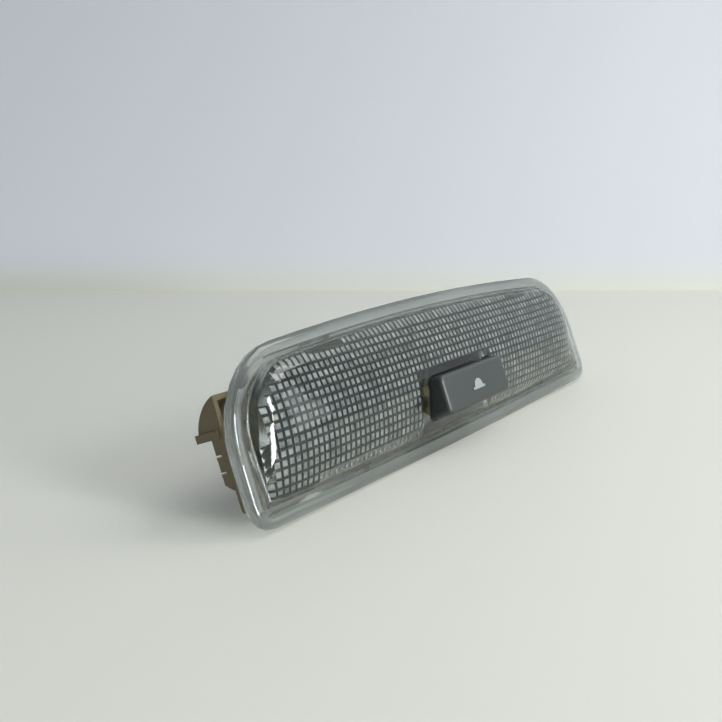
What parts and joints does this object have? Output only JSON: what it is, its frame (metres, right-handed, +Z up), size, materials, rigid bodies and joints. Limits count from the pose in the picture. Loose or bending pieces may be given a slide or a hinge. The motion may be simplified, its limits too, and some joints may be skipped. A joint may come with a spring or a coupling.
{
  "type": "car interior light",
  "caption": "Long car interior light with a clear crowned prismatic lens, a push button switch, and a beige housing with bulb troughs and a blade connector.",
  "frame": {"origin": "middle of the underside of the box around the light, on the table it leans on", "axes": "+X along the light, away from the connector; the lens looks towards -Y and is tipped up by 21 degrees; +Z up"},
  "size_m": [0.176, 0.0304, 0.0395],
  "materials": {
    "clear_lens": "clear moulded polycarbonate, smooth outside and prismatic inside",
    "beige_housing": "beige moulded polypropylene, fine satin",
    "cover_plastic": "beige moulded plastic",
    "black_plastic": "satin black moulded plastic",
    "symbol_print": "pale printed symbol",
    "white_plastic": "off-white acetal",
    "contact_brass": "sprung brass strip",
    "spring_steel": "bright spring steel",
    "tinned_terminal": "dull tinned strip",
    "bright_reflector": "bright pressed aluminium",
    "bulb_glass": "clear glass tube",
    "filament_wire": "fine tungsten wire",
    "bulb_cap": "plain metal cap"
  },
  "bodies": {
    "lamp": {"lens": "clear_lens", "housing": "beige_housing", "return_spring": "spring_steel", "fixed_contact_left": "contact_brass", "fixed_contact_right": "contact_brass", "switch_cover": "cover_plastic", "terminal_supply": "tinned_terminal", "terminal_door": "tinned_terminal", "terminal_ground": "tinned_terminal", "link_rail": "contact_brass", "contact_left_outer": "contact_brass", "contact_left_inner": "contact_brass", "contact_right_inner": "contact_brass", "contact_right_outer": "contact_brass", "reflector_left": "bright_reflector", "reflector_right": "bright_reflector", "bulb_glass_left": "bulb_glass", "bulb_glass_right": "bulb_glass", "filament_left": "filament_wire", "filament_right": "filament_wire", "bulb_cap_left_outer": "bulb_cap", "bulb_cap_left_inner": "bulb_cap", "bulb_cap_right_inner": "bulb_cap", "bulb_cap_right_outer": "bulb_cap", "retaining_spring": "spring_steel"},
    "button": {"button": "black_plastic", "button_symbol": "symbol_print", "plunger": "white_plastic", "moving_contact": "contact_brass"}
  },
  "joints": [
    {"name": "button_press", "type": "slide", "parent": "lamp", "child": "button", "axis": [0, 0.9326, -0.3609], "range_m": [0, 0.002], "stiffness_N_per_m": 400, "springref_m": -0.004, "deforming": ["return_spring"]}
  ]
}
